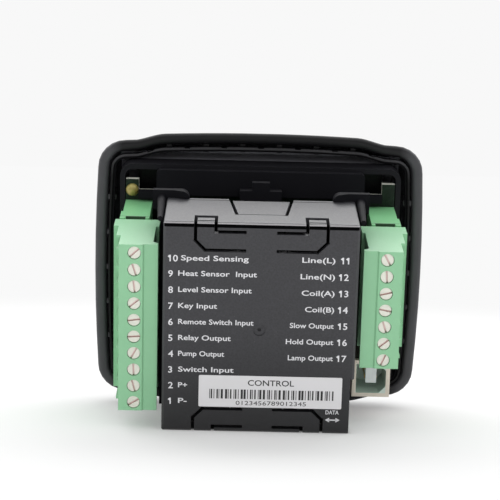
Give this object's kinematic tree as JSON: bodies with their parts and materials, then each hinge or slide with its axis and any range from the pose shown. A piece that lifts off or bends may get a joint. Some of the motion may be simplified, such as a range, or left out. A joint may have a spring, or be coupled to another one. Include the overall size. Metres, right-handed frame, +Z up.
{
  "type": "genset controller",
  "caption": "Panel-mounted generator-set controller: rounded bezel with display and keys, boxed electronics behind the panel, pluggable screw terminals and a data socket.",
  "frame": {"origin": "middle of the panel cut-out, in the plane of the panel's front skin (the gasket's rear face)", "axes": "+Z up, +Y from the panel towards the terminals, +X to the left as seen from the rear"},
  "size_m": [0.078, 0.0551, 0.067],
  "materials": {
    "bezel_plastic": "fine matt moulding",
    "gasket_rubber": "matt rubber",
    "clear_window": "clear, polished",
    "display_grey": "display glass",
    "backlight_white": "white diffuser",
    "inner_black": "matt",
    "board_black": "dark solder resist",
    "board_green": "green solder resist",
    "stop_red": "satin",
    "key_grey": "satin",
    "start_green": "satin",
    "rivet_brass": "dull brass",
    "gold_contact": "plated",
    "tinned_metal": "tinned",
    "relay_black": "satin",
    "can_blue": "sleeved can",
    "ferrite": "ferrite",
    "chassis_plastic": "fine matt moulding",
    "cover_plastic": "spark-eroded matt moulding",
    "label_white": "white film",
    "terminal_green": "satin moulding",
    "nickel_shell": "nickel plated",
    "tongue_white": "matt"
  },
  "bodies": {
    "housing": {"front_bezel": "bezel_plastic", "panel_gasket": "gasket_rubber", "display_window": "clear_window", "display_glass": "display_grey", "display_frame": "inner_black", "backlight": "backlight_white", "display_board": "board_black", "switch_bodies": "inner_black", "main_board": "board_green", "board_rivet": "rivet_brass", "link_socket": "inner_black", "link_pins": "gold_contact", "processor_chip": "inner_black", "power_relays": "relay_black", "smoothing_capacitors": "can_blue", "filter_inductor": "ferrite", "chassis": "chassis_plastic", "rear_cover": "cover_plastic", "white_label": "label_white", "left_header": "terminal_green", "right_header": "terminal_green", "left_header_pins": "tinned_metal", "right_header_pins": "tinned_metal", "data_socket_shell": "nickel_shell", "data_socket_tongue": "tongue_white", "data_socket_contacts": "gold_contact"},
    "stop_key": {"stop_key": "stop_red", "stop_plunger": "inner_black"},
    "mode_key": {"mode_key": "key_grey", "mode_plunger": "inner_black"},
    "page_key": {"page_key": "key_grey", "page_plunger": "inner_black"},
    "start_key": {"start_key": "start_green", "start_plunger": "inner_black"},
    "left_plug": {"left_plug": "terminal_green", "left_plug_screws": "tinned_metal", "left_plug_clamps": "tinned_metal", "left_plug_contacts": "gold_contact"},
    "right_plug": {"right_plug": "terminal_green", "right_plug_screws": "tinned_metal", "right_plug_clamps": "tinned_metal", "right_plug_contacts": "gold_contact"}
  },
  "joints": [
    {"name": "stop_key_press", "type": "slide", "parent": "housing", "child": "stop_key", "axis": [0, 1, 0], "range_m": [0, 0.0005], "stiffness_N_per_m": 4000},
    {"name": "mode_key_press", "type": "slide", "parent": "housing", "child": "mode_key", "axis": [0, 1, 0], "range_m": [0, 0.0005], "stiffness_N_per_m": 4000},
    {"name": "page_key_press", "type": "slide", "parent": "housing", "child": "page_key", "axis": [0, 1, 0], "range_m": [0, 0.0005], "stiffness_N_per_m": 4000},
    {"name": "start_key_press", "type": "slide", "parent": "housing", "child": "start_key", "axis": [0, 1, 0], "range_m": [0, 0.0005], "stiffness_N_per_m": 4000},
    {"name": "left_plug_pull", "type": "slide", "parent": "housing", "child": "left_plug", "axis": [0, 1, 0], "range_m": [0, 0.008]},
    {"name": "right_plug_pull", "type": "slide", "parent": "housing", "child": "right_plug", "axis": [0, 1, 0], "range_m": [0, 0.008]}
  ]
}
